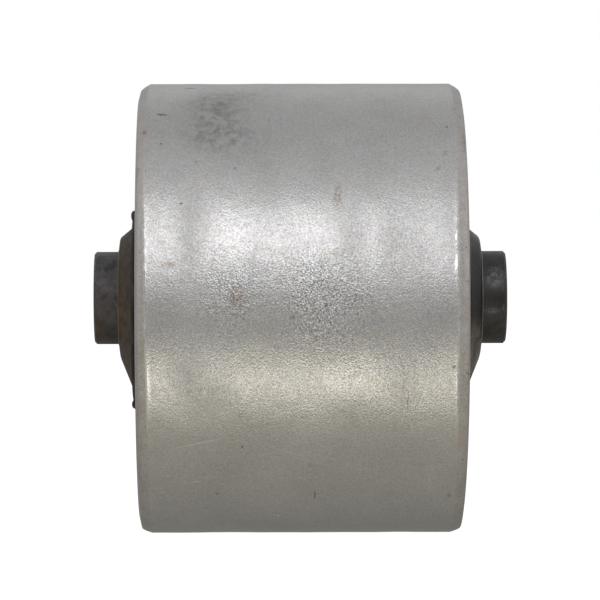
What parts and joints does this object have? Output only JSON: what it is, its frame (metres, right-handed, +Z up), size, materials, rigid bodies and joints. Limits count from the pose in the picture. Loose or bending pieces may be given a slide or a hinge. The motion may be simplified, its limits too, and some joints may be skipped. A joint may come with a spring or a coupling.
{
  "type": "track roller",
  "caption": "Plain-tread track roller that turns on a fixed axle with eccentric end spigots and dark oblique seal collars.",
  "frame": {"origin": "middle of the roller on the axis that it turns about", "axes": "+Y along the axle towards the right end, +Z up, the way the spigots are offset from the roller's axis, and +X towards the viewer of the main view"},
  "size_m": [0.146, 0.1332, 0.146],
  "materials": {
    "tread_steel": "grey blasted forging, satin",
    "axle_steel": "black oxide with light rust",
    "plug_steel": "black oxide",
    "bush_bronze": "machined bronze lining on steel",
    "washer_bronze": "machined bronze",
    "seal_iron": "lapped face",
    "seal_rubber": "matte",
    "left_collar_iron": "black, dusty",
    "right_collar_iron": "black, satin",
    "dust_rubber": "matte, rough edge",
    "ring_steel": "bright drawn wire"
  },
  "bodies": {
    "axle_body": {"axle": "axle_steel", "gallery_plug": "plug_steel", "left_collar": "left_collar_iron", "left_collar_o_ring": "seal_rubber", "left_outer_seal_ring": "seal_iron", "left_outer_toric": "seal_rubber", "left_snap_ring": "ring_steel", "left_dust_ring": "dust_rubber", "right_collar": "right_collar_iron", "right_collar_o_ring": "seal_rubber", "right_outer_seal_ring": "seal_iron", "right_outer_toric": "seal_rubber", "right_snap_ring": "ring_steel", "right_dust_ring": "dust_rubber"},
    "roller_body": {"roller_shell": "tread_steel", "left_bush": "bush_bronze", "left_thrust_washer": "washer_bronze", "left_inner_seal_ring": "seal_iron", "left_inner_toric": "seal_rubber", "right_bush": "bush_bronze", "right_thrust_washer": "washer_bronze", "right_inner_seal_ring": "seal_iron", "right_inner_toric": "seal_rubber"}
  },
  "joints": [
    {"name": "roller_spin", "type": "hinge", "parent": "axle_body", "child": "roller_body", "pos_m": [0, 0, 0], "axis": [0, 1, 0], "continuous": true}
  ]
}
